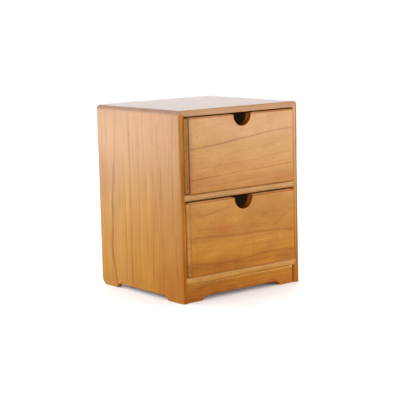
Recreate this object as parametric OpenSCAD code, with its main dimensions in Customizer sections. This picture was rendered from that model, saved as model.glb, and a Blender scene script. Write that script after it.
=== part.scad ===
// Desktop mini drawers: a small lacquered wooden cabinet with two pull-out drawers.
// Frame: +Z up, +X to the right seen from the front, the drawers pull out along -Y.
// The origin is on the floor at the centre of the object's bounding box.
// Units are millimetres.

/* [Cabinet] */
// Overall width, over the side panels
cab_w = 198; // [170:1:240]
// Depth of the side panels, front edge to rear edge
cab_d = 180; // [150:1:220]
// Overall height, floor to the top surface
cab_h = 244; // [210:1:290]
// Thickness of the top panel, the side panels and the plinth
board = 8; // [7:0.5:10]
// Thickness of the shelf and the bottom panel
shelf_t = 9; // [8:0.5:11]
// Floor to the underside of the bottom panel
base_h = 24.2; // [20:0.2:32]
// How much higher the upper drawer's opening is than the lower one's
open_step = 1; // [0:0.5:8]

/* [Top panel] */
// Height of the top panel's ends, which lap over the side panels
top_lip = 5.8; // [4.8:0.1:6.4]
// Radius of the top panel's rounded left and right ends
top_r = 5.5; // [2:0.1:5.5]

/* [Edges] */
// Radius of the side panels' outer front edges
stile_out_r = 2.9; // [1:0.1:3.2]
// Radius of the side panels' inner front edges, along the drawer openings
stile_in_r = 3; // [1:0.1:3.2]
// Radius of the shelf's and the bottom panel's upper front edges
shelf_r = 2.6; // [1:0.1:3.4]
// Radius of the shelf's and the bottom panel's lower front edges
shelf_low_r = 1.5; // [0.5:0.1:3.4]
// Radius of the plinth's upper front edge
plinth_r = 2.2; // [0.5:0.1:4]
// Radius of the side panels' rear edges
rear_r = 1.2; // [0.5:0.1:2.5]

/* [Feet] */
// Length of the side panels' front feet
foot_front = 32; // [22:1:45]
// Length of the side panels' rear feet
foot_rear = 34; // [22:1:45]
// Length of the feet under the plinth, from the outer faces of the side panels
foot_plinth = 33; // [22:1:45]
// Height of the cut-outs in the side panels and the plinth
cut_h = 6; // [3:0.5:9]
// Radius of the curve at each end of a cut-out
cut_r = 10; // [9:0.5:16]
// Radius of the rounded lower rear corners of the side panels
heel_r = 11; // [4:0.5:15]

/* [Plinth] */
// How far the plinth stands back from the front edges
plinth_back = 1.9; // [0:0.1:6]
// Gap between the plinth's right end and its side panel
plinth_gap = 3.2; // [0:0.1:5]

/* [Joints] */
// Depth of the housings that hold the shelf and the bottom panel
housing = 3; // [2:0.5:4]
// Thickness of the back panel
back_t = 3; // [2:0.5:3.5]
// Diameter of the dowels
dowel_d = 4; // [3:0.5:4.5]
// Diameter of the dowels in the drawers' front corners
drawer_dowel_d = 3; // [2:0.5:3.5]
// Diameter of the brads
brad_d = 1.2; // [1:0.1:1.6]

/* [Drawers] */
// Gap on each side of a centred drawer
side_gap = 3; // [1:0.1:4]
// Gap over a drawer's front
top_gap = 1.8; // [1:0.1:5]
// Running clearance under a drawer
under_gap = 0.4; // [0.3:0.1:1]
// Thickness of the drawer fronts
front_t = 10; // [8:0.5:12]
// Radius of the drawer fronts' edges
front_r = 1.4; // [0.5:0.1:2.5]
// Thickness of the drawer sides and backs
box_t = 6; // [5:0.5:8]
// Thickness of the drawer bottoms
floor_t = 3; // [2:0.5:4]
// How far the drawer sides stop below the top of the front
side_drop = 8; // [4:1:20]
// Radius of the upper drawer's finger notch
upper_notch_r = 14.3; // [10:0.1:18]
// Radius of the lower drawer's finger notch
lower_notch_r = 14.8; // [10:0.1:18]
// How far the centre of a finger notch lies below the top edge of its front
notch_drop = 1.2; // [0:0.1:3]

/* [Drawer positions at rest] */
// How far the upper drawer's front stands proud of the cabinet
upper_out = 3.5; // [0.3:0.1:8]
// How far the lower drawer's front stands proud of the cabinet
lower_out = 5.2; // [0.3:0.1:8]
// Sideways position of the upper drawer
upper_side = 0.3; // [-0.6:0.1:0.6]
// Sideways position of the lower drawer
lower_side = -1.2; // [-1.6:0.1:1.6]

/* [Hidden] */

$fn = 64;
e = 0.5;                                          // overshoot of a cutting shape
wood = [0.80, 0.55, 0.30];
wood_edge = [0.76, 0.56, 0.34];
wood_front = [0.78, 0.50, 0.24];
pale_wood = [0.86, 0.72, 0.52];
ply = [0.84, 0.71, 0.54];
steel = [0.62, 0.62, 0.64];

proud = max(upper_out, lower_out);
yf = -(cab_d + proud) / 2 + proud;                // front edges of the cabinet
yr = yf + cab_d;                                  // rear edges
xl = -cab_w / 2;
xi = xl + board;                                  // inner face of the left side panel
back_in = cab_d - back_t - 1;                     // front edges to the back panel's front face
rebate = board / 2;                               // width of the rebate for the back panel
side_h = cab_h - top_lip;                         // height of a side panel
open_both = cab_h - board - base_h - 2 * shelf_t; // height of the two drawer openings together
z_low = base_h + shelf_t;                         // floor of the lower opening
z_shelf = z_low + (open_both - open_step) / 2;    // underside of the shelf
z_up = z_shelf + shelf_t;                         // floor of the upper opening
z_rail = cab_h - board;                           // underside of the top panel
dr_w = cab_w - 2 * board - 2 * side_gap;          // drawer width
up_h = z_rail - z_up - top_gap - under_gap;       // height of the upper drawer's front
low_h = z_shelf - z_low - top_gap - under_gap;    // height of the lower drawer's front
dr_l = back_in - 0.3;                             // drawer length, front face to rear edge
floor_z = 5;                                      // underside of a drawer bottom above the drawer's lower edge
groove = box_t / 2;                               // depth of the grooves for the drawer bottom

// ---- two-dimensional helpers ----

// what a round-over of radius r takes off a corner at the origin, with the board in the +x +y quadrant
module corner_cut(r) {
    difference() {
        translate([-e, -e]) square(r + e);
        translate([r, r]) circle(r);
    }
}

// a shallow cut-out in a lower edge between a0 and a1, its ends curving up to the full height
module foot_cut(a0, a1) {
    w = sqrt(2 * cut_r * cut_h - cut_h * cut_h);
    intersection() {
        translate([a0, -e]) square([a1 - a0, cut_h + e]);
        union() {
            translate([a0 + w, -e]) square([a1 - a0 - 2 * w, cut_h + e]);
            for (x = [a0 + w, a1 - w]) translate([x, cut_h - cut_r]) circle(cut_r);
        }
    }
}

// extrude a profile drawn in (y, z) along x
module along_x(x0, len) { translate([x0, 0, 0]) rotate([90, 0, 90]) linear_extrude(len) children(); }

// extrude a profile drawn in (x, z) along y
module along_y(y0, len) { translate([0, y0 + len, 0]) rotate([90, 0, 0]) linear_extrude(len) children(); }

// a round pin or bore from a point along a direction: "x", "-x", "y", "-y" or "z"
module rod(p, dir, d, len) {
    r = dir == "x" ? [0, 90, 0] : dir == "-x" ? [0, -90, 0] : dir == "y" ? [-90, 0, 0] : dir == "-y" ? [90, 0, 0] : [0, 0, 0];
    translate(p) rotate(r) cylinder(d = d, h = len, $fn = 32);
}

// a brad: flat head flush with the surface at p, shank driven along dir
module brad(p, dir, len) {
    rod(p, dir, brad_d, len);
    rod(p, dir, 2 * brad_d, 0.6);
}

// ---- cabinet ----

module top_dowel_set() {
    for (s = [-1, 1], y = [18, cab_d / 2, cab_d - 18])
        rod([s * (cab_w / 2 - board / 2 - 0.3), yf + y, side_h - 11], "z", dowel_d, 14);
}

module plinth_dowel_set() {
    for (x = [-60, 0, 60])
        rod([x * cab_w / 198, yf + plinth_back + board / 2, base_h - 10], "z", dowel_d, 15);
}

module back_brad_set() {
    y = yf + back_in + back_t;
    for (s = [-1, 1], z = [60, 132, 205]) brad([s * (cab_w / 2 - board + rebate / 2), y, z * cab_h / 244], "-y", 11);
    for (x = [-45, 45]) {
        brad([x, y, z_shelf + shelf_t / 2], "-y", 14);
        brad([x, y, base_h + shelf_t / 2], "-y", 14);
    }
}

module top_panel() {
    color(wood) difference() {
        union() {
            intersection() {
                // front view, with rounded ends
                along_y(yf, cab_d) difference() {
                    translate([xl, side_h]) square([cab_w, top_lip]);
                    for (m = [0, 1]) mirror([m, 0]) translate([xl, cab_h]) mirror([0, 1]) corner_cut(top_r);
                }
                // plan, its corners rounded like the side panels' edges below them
                translate([0, 0, side_h]) linear_extrude(top_lip) difference() {
                    translate([xl, yf]) square([cab_w, cab_d]);
                    for (m = [0, 1]) mirror([m, 0]) {
                        translate([xl, yf]) corner_cut(stile_out_r);
                        translate([xl, yr]) mirror([0, 1]) corner_cut(rear_r);
                    }
                }
            }
            translate([xi, yf, z_rail]) cube([cab_w - 2 * board, back_in, board - top_lip + 0.01]);
        }
        top_dowel_set();
    }
}

// the left side panel; the right one is its mirror image
module side_panel() {
    difference() {
        intersection() {
            // plan, with rounded front and rear edges
            linear_extrude(side_h) difference() {
                translate([xl, yf]) square([board, cab_d]);
                translate([xl, yf]) corner_cut(stile_out_r);
                translate([xl, yr]) mirror([0, 1]) corner_cut(rear_r);
            }
            // side view, with the cut-out between the feet and the rounded heel
            along_x(xl, board) difference() {
                translate([yf, 0]) square([cab_d, side_h]);
                foot_cut(yf + foot_front, yr - foot_rear);
                translate([yr, 0]) mirror([1, 0]) corner_cut(heel_r);
            }
        }
        // round-over along the drawer openings
        translate([0, 0, -e]) linear_extrude(z_rail + e) translate([xi, yf]) mirror([1, 0]) corner_cut(stile_in_r);
        // housings for the shelf and the bottom panel
        for (z = [base_h, z_shelf]) translate([xi - housing, yf - e, z]) cube([housing + e, back_in + e, shelf_t]);
        // rebate for the back panel
        translate([xi - rebate, yf + back_in, base_h]) cube([rebate + e, cab_d - back_in + e, side_h - base_h + e]);
        top_dowel_set();
        back_brad_set();
    }
}

module left_side_panel() { color(wood) side_panel(); }

module right_side_panel() { color(wood) mirror([1, 0, 0]) side_panel(); }

// shelf and bottom panel: both front arrises rounded
module housed_board(z) {
    along_x(xi - housing, cab_w - 2 * board + 2 * housing) difference() {
        translate([yf, z]) square([back_in, shelf_t]);
        translate([yf, z]) corner_cut(shelf_low_r);
        translate([yf, z + shelf_t]) mirror([0, 1]) corner_cut(shelf_r);
    }
}

module middle_shelf() {
    color(wood_edge) difference() {
        housed_board(z_shelf);
        back_brad_set();
    }
}

module bottom_panel() {
    color(wood_edge) difference() {
        housed_board(base_h);
        plinth_dowel_set();
        back_brad_set();
    }
}

module back_panel() {
    w = cab_w - 2 * board + 2 * rebate;
    color(ply) difference() {
        translate([-w / 2, yf + back_in, base_h]) cube([w, back_t, side_h - base_h]);
        back_brad_set();
    }
}

// against the left side panel, and short of the right one
module front_plinth() {
    w = cab_w - 2 * board - plinth_gap;
    color(wood_front) difference() {
        intersection() {
            along_y(yf + plinth_back, board) difference() {
                translate([xi, 0]) square([w, base_h]);
                foot_cut(xl + foot_plinth, -xl - foot_plinth);
            }
            along_x(xi, w) difference() {
                translate([yf + plinth_back, 0]) square([board, base_h]);
                translate([yf + plinth_back, base_h]) mirror([0, 1]) corner_cut(plinth_r);
            }
        }
        plinth_dowel_set();
    }
}

module top_dowels() { color(pale_wood) top_dowel_set(); }

module plinth_dowels() { color(pale_wood) plinth_dowel_set(); }

module back_panel_brads() { color(steel) back_brad_set(); }

// ---- drawers ----
// A drawer is drawn with the middle of its front face's lower edge at the origin, and set in place by these two.

module place_upper() { translate([upper_side, yf - upper_out, z_up + under_gap]) children(); }

module place_lower() { translate([lower_side, yf - lower_out, z_low + under_gap]) children(); }

// In what follows h is the height of the drawer's front; its sides are side_drop lower.
// two dowels join each side to the back of the front
module drawer_dowel_set(h) {
    for (s = [-1, 1], k = [0.25, 0.75])
        rod([s * (dr_w - box_t) / 2, front_t - 6, k * (h - side_drop)], "y", drawer_dowel_d, 20);
}

module drawer_brad_set(h) {
    for (m = [0, 1]) mirror([m, 0, 0]) {
        for (k = [0.25, 0.75]) brad([-dr_w / 2, dr_l - box_t / 2, k * (h - side_drop)], "x", 15);
        brad([-dr_w / 4, dr_l - box_t / 2, floor_z], "z", 11);
    }
}

module drawer_front(h, notch_r) {
    difference() {
        intersection() {
            // front view, with the finger notch
            along_y(0, front_t) difference() {
                translate([-dr_w / 2, 0]) square([dr_w, h]);
                translate([0, h - notch_drop]) circle(notch_r);
                translate([-notch_r, h - notch_drop]) square([2 * notch_r, notch_drop + e]);
            }
            // plan, with rounded front edges
            linear_extrude(h) difference() {
                translate([-dr_w / 2, 0]) square([dr_w, front_t]);
                for (m = [0, 1]) mirror([m, 0]) translate([-dr_w / 2, 0]) corner_cut(front_r);
            }
            // side view, with rounded top and bottom edges
            along_x(-dr_w / 2, dr_w) difference() {
                square([front_t, h]);
                corner_cut(front_r);
                translate([0, h]) mirror([0, 1]) corner_cut(front_r);
            }
        }
        // groove for the bottom
        translate([-dr_w / 2 + groove, front_t - 4, floor_z]) cube([dr_w - 2 * groove, 4 + e, floor_t]);
        drawer_dowel_set(h);
    }
}

// butts against the back of the front
module drawer_side(h) {
    difference() {
        translate([-dr_w / 2, front_t, 0]) cube([box_t, dr_l - front_t, h - side_drop]);
        translate([-dr_w / 2 + box_t - groove, front_t - e, floor_z]) cube([groove + e, dr_l + 2 * e, floor_t]);
        drawer_dowel_set(h);
        drawer_brad_set(h);
    }
}

module drawer_back(h) {
    difference() {
        translate([-dr_w / 2 + box_t, dr_l - box_t, floor_z + floor_t]) cube([dr_w - 2 * box_t, box_t, h - side_drop - floor_z - floor_t - 4]);
        drawer_brad_set(h);
    }
}

module drawer_bottom(h) {
    difference() {
        translate([-dr_w / 2 + groove, front_t - 4, floor_z]) cube([dr_w - 2 * groove, dr_l - front_t + 4, floor_t]);
        drawer_brad_set(h);
    }
}

module upper_drawer_front() { color(wood_front) place_upper() drawer_front(up_h, upper_notch_r); }

module upper_drawer_left_side() { color(pale_wood) place_upper() drawer_side(up_h); }

module upper_drawer_right_side() { color(pale_wood) place_upper() mirror([1, 0, 0]) drawer_side(up_h); }

module upper_drawer_back() { color(pale_wood) place_upper() drawer_back(up_h); }

module upper_drawer_bottom() { color(ply) place_upper() drawer_bottom(up_h); }

module upper_drawer_dowels() { color(pale_wood) place_upper() drawer_dowel_set(up_h); }

module upper_drawer_brads() { color(steel) place_upper() drawer_brad_set(up_h); }

module lower_drawer_front() { color(wood_front) place_lower() drawer_front(low_h, lower_notch_r); }

module lower_drawer_left_side() { color(pale_wood) place_lower() drawer_side(low_h); }

module lower_drawer_right_side() { color(pale_wood) place_lower() mirror([1, 0, 0]) drawer_side(low_h); }

module lower_drawer_back() { color(pale_wood) place_lower() drawer_back(low_h); }

module lower_drawer_bottom() { color(ply) place_lower() drawer_bottom(low_h); }

module lower_drawer_dowels() { color(pale_wood) place_lower() drawer_dowel_set(low_h); }

module lower_drawer_brads() { color(steel) place_lower() drawer_brad_set(low_h); }

top_panel();
left_side_panel();
right_side_panel();
middle_shelf();
bottom_panel();
back_panel();
front_plinth();
top_dowels();
plinth_dowels();
back_panel_brads();
upper_drawer_front();
upper_drawer_left_side();
upper_drawer_right_side();
upper_drawer_back();
upper_drawer_bottom();
upper_drawer_dowels();
upper_drawer_brads();
lower_drawer_front();
lower_drawer_left_side();
lower_drawer_right_side();
lower_drawer_back();
lower_drawer_bottom();
lower_drawer_dowels();
lower_drawer_brads();
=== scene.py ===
import math

import bmesh
import bpy
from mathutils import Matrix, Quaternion, Vector


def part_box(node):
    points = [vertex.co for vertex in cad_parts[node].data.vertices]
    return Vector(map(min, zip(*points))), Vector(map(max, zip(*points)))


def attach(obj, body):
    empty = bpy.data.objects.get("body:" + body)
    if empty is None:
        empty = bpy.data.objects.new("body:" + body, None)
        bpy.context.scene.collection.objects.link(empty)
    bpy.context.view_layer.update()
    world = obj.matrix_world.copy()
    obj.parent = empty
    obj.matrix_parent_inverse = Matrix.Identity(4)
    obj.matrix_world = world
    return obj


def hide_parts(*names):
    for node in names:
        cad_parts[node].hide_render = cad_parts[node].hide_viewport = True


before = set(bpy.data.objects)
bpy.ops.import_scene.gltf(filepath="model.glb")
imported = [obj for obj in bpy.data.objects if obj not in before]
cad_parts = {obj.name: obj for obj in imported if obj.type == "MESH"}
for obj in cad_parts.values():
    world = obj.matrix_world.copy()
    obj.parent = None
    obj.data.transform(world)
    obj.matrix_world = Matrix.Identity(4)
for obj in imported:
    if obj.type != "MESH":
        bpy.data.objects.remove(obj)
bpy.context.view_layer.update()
scene = bpy.context.scene
MM = 0.001


# ------------------------------------------------------------------ mesh helpers

def fillet(points, n=6):
    """A closed counter-clockwise outline from (x, y, r) corners, each rounded to r."""
    out = []
    for i, (x, y, r) in enumerate(points):
        p = Vector((x, y))
        if r <= 0:
            out.append(p)
            continue
        a = (Vector(points[i - 1][:2]) - p).normalized()
        b = (Vector(points[(i + 1) % len(points)][:2]) - p).normalized()
        half = a.angle(b) / 2
        c = p + (a + b).normalized() * (r / math.sin(half))
        s, e = p + a * (r / math.tan(half)) - c, p + b * (r / math.tan(half)) - c
        a0 = math.atan2(s.y, s.x)
        turn = (math.atan2(e.y, e.x) - a0 + math.pi) % (2 * math.pi) - math.pi
        k = max(2, round(n * abs(turn) / (math.pi / 2)))
        for j in range(k + 1):
            t = a0 + turn * j / k
            out.append(c + Vector((math.cos(t), math.sin(t))) * r)
    return out


def arc(cx, cy, r, a0, a1, n):
    return [Vector((cx + r * math.cos(math.radians(a0 + (a1 - a0) * j / n)),
                    cy + r * math.sin(math.radians(a0 + (a1 - a0) * j / n)))) for j in range(n + 1)]


def clean(outline):
    """The outline without points that lie on the one before."""
    out = []
    for p in outline:
        if not out or (p - out[-1]).length > 1e-7:
            out.append(p)
    if (out[0] - out[-1]).length < 1e-7:
        out.pop()
    return out


def inset(outline, radii, x):
    """The outline at depth x below a face whose edges are rounded: radii(mid point, inward normal) gives each edge's radius."""
    n = len(outline)
    normals, offs = [], []
    for i in range(n):
        d = (outline[(i + 1) % n] - outline[i]).normalized()
        normal = Vector((-d.y, d.x))
        r = radii((outline[i] + outline[(i + 1) % n]) / 2, normal)
        normals.append(normal)
        offs.append(0.0 if x >= r else r - math.sqrt(max(0.0, r * r - (r - x) ** 2)))
    out = []
    for i in range(n):
        n0, n1, o0, o1 = normals[i - 1], normals[i], offs[i - 1], offs[i]
        det = n0.x * n1.y - n0.y * n1.x
        if abs(det) < 0.3 and n0.dot(n1) > 0:
            out.append(outline[i] + (n0 + n1) * ((o0 + o1) / 2 / (1 + n0.dot(n1))))
        else:
            out.append(outline[i] + Vector(((o0 * n1.y - o1 * n0.y) / det, (o1 * n0.x - o0 * n1.x) / det)))
    return out


def depths(values, n=6):
    """Depths below a face at which the rounded edges of these radii are cut into rings."""
    found = {0.0}
    for r in sorted(set(values)):
        k = n if r > 1.0 * MM else 3
        found |= {r * (1 - math.cos(math.pi / 2 * j / k)) for j in range(1, k + 1)}
    out = []
    for x in sorted(found):
        if not out or x - out[-1] > 0.03 * MM:
            out.append(x)
    return out


def loft(name, rings, material, body, nodes=(), extra=()):
    """A closed mesh through rings of points, capped at both ends. extra holds more such ring lists for the same piece."""
    bm = bmesh.new()
    for part in [rings, *extra]:
        rows = [[bm.verts.new(p) for p in ring] for ring in part]
        n = len(rows[0])
        for a, b in zip(rows, rows[1:]):
            for i in range(n):
                bm.faces.new((a[i], a[(i + 1) % n], b[(i + 1) % n], b[i]))
        bm.faces.new(list(reversed(rows[0])))
        bm.faces.new(rows[-1])
    bmesh.ops.remove_doubles(bm, verts=bm.verts, dist=2e-6)
    bmesh.ops.dissolve_degenerate(bm, edges=bm.edges, dist=1e-7)
    bmesh.ops.recalc_face_normals(bm, faces=bm.faces)
    caps = [f for f in bm.faces if len(f.verts) > 4]
    bmesh.ops.triangulate(bm, faces=caps)
    return finish_mesh(name, bm, material, body, nodes)


def finish_mesh(name, bm, material, body, nodes, weighted=True):
    for f in bm.faces:
        f.smooth = True
    for e in bm.edges:
        e.smooth = e.calc_face_angle(0.0) < math.radians(35)
    mesh = bpy.data.meshes.new(name)
    bm.to_mesh(mesh)
    bm.free()
    obj = bpy.data.objects.new(name, mesh)
    scene.collection.objects.link(obj)
    mesh.materials.append(material)
    if weighted:
        mod = obj.modifiers.new("normals", "WEIGHTED_NORMAL")
        mod.weight = 100
        mod.keep_sharp = True
    if nodes:
        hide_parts(*nodes)
    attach(obj, body)
    return obj


def plate_rings(outline, d0, d1, to3, front, rear=None):
    """Rings of a flat board: outline between the depths d0 and d1, its two faces' edges rounded as front and rear say."""
    rear = rear or front
    n = len(outline)
    mids = [((outline[i] + outline[(i + 1) % n]) / 2, (outline[(i + 1) % n] - outline[i]).normalized()) for i in range(n)]
    rf = [front(m, Vector((-d.y, d.x))) for m, d in mids]
    rr = [rear(m, Vector((-d.y, d.x))) for m, d in mids]
    s = 1 if d1 > d0 else -1
    rings = [[to3(p, d0 + s * x) for p in inset(outline, front, x)] for x in depths(rf)]
    rings += [[to3(p, d1 - s * x) for p in inset(outline, rear, x)] for x in reversed(depths(rr))]
    return rings


def plate(name, outline, d0, d1, to3, front, rear, material, body, nodes=()):
    return loft(name, plate_rings(clean(outline), d0, d1, to3, front, rear), material, body, nodes)


def board(name, lo, hi, axis, r, material, body, nodes=(), corner=None):
    """A plain board between two corners, thin along axis, with all its arrises eased to r."""
    lo, hi = list(lo), list(hi)
    u, v = [i for i in range(3) if i != axis]
    if axis == 1:
        u, v = v, u
    c = r if corner is None else corner
    outline = fillet([(lo[u], lo[v], c), (hi[u], lo[v], c), (hi[u], hi[v], c), (lo[u], hi[v], c)], 4)

    def to3(p, d):
        q = [0.0, 0.0, 0.0]
        q[u], q[v], q[axis] = p.x, p.y, d
        return q
    same = lambda m, n: r
    return plate(name, outline, lo[axis], hi[axis], to3, same, same, material, body, nodes)


# ------------------------------------------------------------------ material helpers

class Tree:
    """Short calls for building a material's nodes. Lengths in the wood materials are in millimetres."""

    def __init__(self, name):
        self.mat = bpy.data.materials.new(name)
        self.mat.use_nodes = True
        self.t = self.mat.node_tree
        self.t.nodes.clear()

    def add(self, kind, **props):
        node = self.t.nodes.new(kind)
        for k, v in props.items():
            setattr(node, k, v)
        return node

    def put(self, socket, value):
        if hasattr(value, "is_output"):
            self.t.links.new(value, socket)
        else:
            socket.default_value = value

    def math(self, op, a, b=0.0, c=0.0, clamp=False):
        node = self.add("ShaderNodeMath", operation=op, use_clamp=clamp)
        for s, v in zip(node.inputs, (a, b, c)):
            self.put(s, v)
        return node.outputs[0]

    def add_(self, *terms):
        out = terms[0]
        for t in terms[1:]:
            out = self.math("ADD", out, t)
        return out

    def mul(self, *terms):
        out = terms[0]
        for t in terms[1:]:
            out = self.math("MULTIPLY", out, t)
        return out

    def sub(self, a, b):
        return self.math("SUBTRACT", a, b)

    def vec(self, x, y, z):
        node = self.add("ShaderNodeCombineXYZ")
        for s, v in zip(node.inputs, (x, y, z)):
            self.put(s, v)
        return node.outputs[0]

    def noise(self, v, scale=1.0, detail=2.0, rough=0.5, w=0.0, kind="FBM"):
        """Noise from 0 to 1, about 0.5 on average; w picks another pattern."""
        node = self.add("ShaderNodeTexNoise", noise_dimensions="4D", noise_type=kind)
        self.put(node.inputs["Vector"], v)
        node.inputs["W"].default_value = w
        node.inputs["Scale"].default_value = scale
        node.inputs["Detail"].default_value = detail
        node.inputs["Roughness"].default_value = rough
        return node.outputs["Fac"]

    def curve(self, value, points, lo=0.0, hi=1.0, out_lo=0.0, out_hi=1.0):
        """A smooth curve through given points, over value from lo to hi."""
        f = self.math("DIVIDE", self.sub(value, lo), hi - lo, clamp=True)
        node = self.add("ShaderNodeFloatCurve")
        c = node.mapping.curves[0]
        pts = [((x - lo) / (hi - lo), (y - out_lo) / (out_hi - out_lo)) for x, y in points]
        while len(c.points) < len(pts):
            c.points.new(0.5, 0.5)
        for p, (x, y) in zip(c.points, pts):
            p.location = (x, y)
        node.mapping.update()
        self.put(node.inputs["Value"], f)
        return self.math("MULTIPLY_ADD", node.outputs[0], out_hi - out_lo, out_lo)

    def ramp(self, value, lo, hi, out_lo=0.0, out_hi=1.0, smooth=True):
        node = self.add("ShaderNodeMapRange", interpolation_type="SMOOTHSTEP" if smooth else "LINEAR")
        for s, v in zip(node.inputs, (value, lo, hi, out_lo, out_hi)):
            self.put(s, v)
        return node.outputs[0]

    def mix(self, fac, a, b, blend="MIX"):
        node = self.add("ShaderNodeMix", data_type="RGBA", blend_type=blend)
        node.clamp_factor = True
        self.put(node.inputs[0], fac)
        self.put(node.inputs[6], a if hasattr(a, "is_output") else (*a, 1.0))
        self.put(node.inputs[7], b if hasattr(b, "is_output") else (*b, 1.0))
        return node.outputs[2]

    def tint(self, fac, color, rgb):
        """The colour multiplied by rgb where fac is 1."""
        return self.mix(fac, color, self.mix(1.0, color, rgb, "MULTIPLY"))

    def sway(self, value, color, low, high):
        """The colour multiplied by low where value is 0 and by high where it is 1."""
        return self.mix(1.0, color, self.mix(value, low, high), "MULTIPLY")

    def line(self, color, a, c, path, half, rgb, strength=None, seed=0.0):
        """A darker grain line along given (along, across) points. strength: (along, 0 to 1) points."""
        xs, ys = [q[0] for q in path], [q[1] for q in path]
        pad = (max(ys) - min(ys)) * 0.25 + 1.0
        off = self.math("ABSOLUTE", self.sub(c, self.curve(a, path, xs[0], xs[-1], min(ys) - pad, max(ys) + pad)))
        m = self.ramp(off, 0.15 * half, half, 1.0, 0.0)
        broken = self.ramp(self.noise(self.vec(xs[0] * 0.37, seed, self.mul(a, 1 / 30)), 1.0, 2.0, 0.6, seed), 0.28, 0.66, 0.55, 1.0)
        m = self.mul(m, broken, self.ramp(a, xs[0] - 1, xs[0] + 7), self.ramp(a, xs[-1] - 7, xs[-1] + 1, 1.0, 0.0))
        if strength:
            m = self.mul(m, self.curve(a, strength, strength[0][0], strength[-1][0]))
        return self.tint(m, color, rgb)

    def patch(self, color, a, c, at, size, rgb, seed=0.0):
        """A soft patch of another tone: its middle and half sizes (along, across)."""
        u = self.mul(self.sub(a, at[0]), 1 / size[0])
        v = self.mul(self.sub(c, at[1]), 1 / size[1])
        r = self.math("SQRT", self.add_(self.mul(u, u), self.mul(v, v)))
        r = self.add_(r, self.mul(self.sub(self.noise(self.vec(self.mul(a, 1 / 40), self.mul(c, 1 / 7), seed), 1.0, 2.0, 0.5, seed), 0.5), 0.9))
        return self.tint(self.ramp(r, 0.45, 1.1, 1.0, 0.0), color, rgb)

    def bands(self, color, value, stops, gain=5.0):
        """The colour multiplied by a tone that changes with value: stops are (value, (r, g, b))."""
        lo, hi = stops[0][0], stops[-1][0]
        node = self.add("ShaderNodeValToRGB")
        ramp = node.color_ramp
        ramp.interpolation = "EASE"
        while len(ramp.elements) < len(stops):
            ramp.elements.new(0.5)
        for el, (x, _) in zip(ramp.elements, stops):
            el.position = (x - lo) / (hi - lo)
        for el, (_, rgb) in zip(ramp.elements, stops):
            el.color = (*[v / gain for v in rgb], 1.0)
        self.put(node.inputs[0], self.math("DIVIDE", self.sub(value, lo), hi - lo, clamp=True))
        color = self.mix(1.0, color, node.outputs[0], "MULTIPLY")
        return self.mix(1.0, color, (gain, gain, gain), "MULTIPLY")

    def shade(self, value):
        """A grey colour from a number, to multiply a colour with."""
        node = self.add("ShaderNodeCombineColor")
        for s in node.inputs:
            self.put(s, value)
        return node.outputs[0]


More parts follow.
